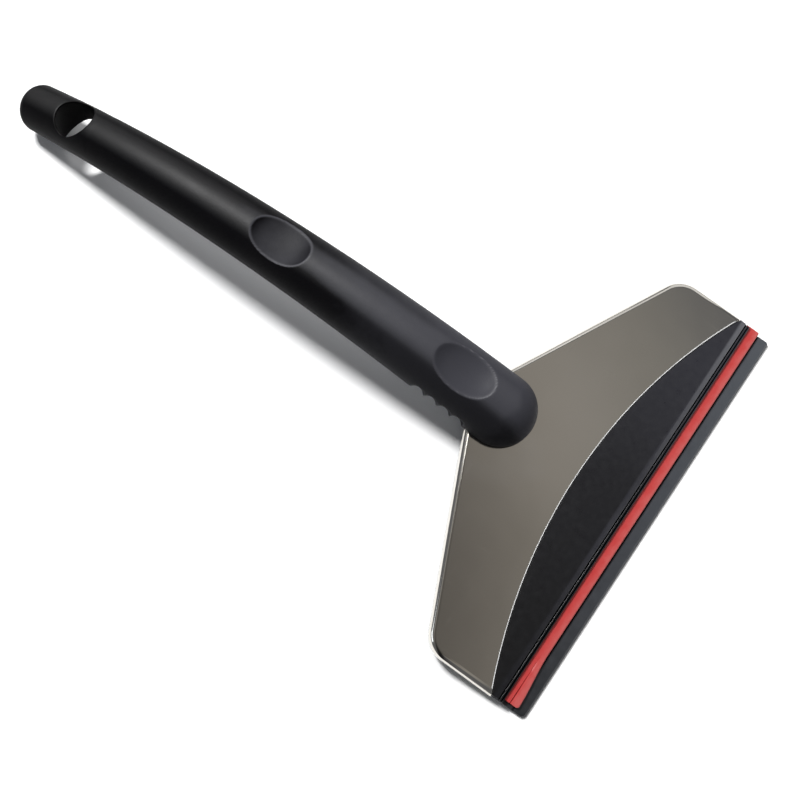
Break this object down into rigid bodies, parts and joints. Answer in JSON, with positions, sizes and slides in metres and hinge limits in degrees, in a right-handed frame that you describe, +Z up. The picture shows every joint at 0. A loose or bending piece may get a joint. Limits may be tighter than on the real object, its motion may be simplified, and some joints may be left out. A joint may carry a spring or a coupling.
{
  "type": "ice scraper",
  "caption": "Hand ice scraper: wide polished steel head with a rubber blade and red strip, on an arched round black handle with thumb dimples, finger grooves and a hang hole.",
  "frame": {"origin": "under the middle of the whole scraper, on the surface that it lies on", "axes": "+X runs from the handle's tip to the blade's front edge, +Y along the blade, +Z up; the scraper lies on its blade edge and its handle's tip"},
  "size_m": [0.2966, 0.1716, 0.0404],
  "materials": {
    "handle_plastic": "fine matte moulded grain",
    "head_plastic": "satin moulded",
    "polished_steel": "mirror-polished stainless sheet with light wear",
    "blade_rubber": "satin slate black",
    "red_rubber": "satin red",
    "screw_steel": "zinc plated"
  },
  "bodies": {
    "scraper": {"handle_body": "handle_plastic", "handle_bottom_cover": "handle_plastic", "steel_cover": "polished_steel", "head_carrier": "head_plastic", "head_bottom_plate": "head_plastic", "handle_screw_1": "screw_steel", "handle_screw_2": "screw_steel", "handle_screw_3": "screw_steel", "handle_screw_4": "screw_steel", "plate_screw_1": "screw_steel", "plate_screw_2": "screw_steel", "plate_screw_3": "screw_steel", "plate_screw_4": "screw_steel", "plate_screw_5": "screw_steel", "plate_screw_6": "screw_steel"},
    "blade": {"scraper_blade": "blade_rubber"},
    "strip": {"red_strip": "red_rubber"}
  },
  "joints": [
    {"name": "blade_slide", "type": "slide", "parent": "scraper", "child": "blade", "axis": [0, 1, 0], "range_m": [-0.15, 0.15]},
    {"name": "red_strip_slide", "type": "slide", "parent": "scraper", "child": "strip", "axis": [0, 1, 0], "range_m": [-0.15, 0.15]}
  ]
}
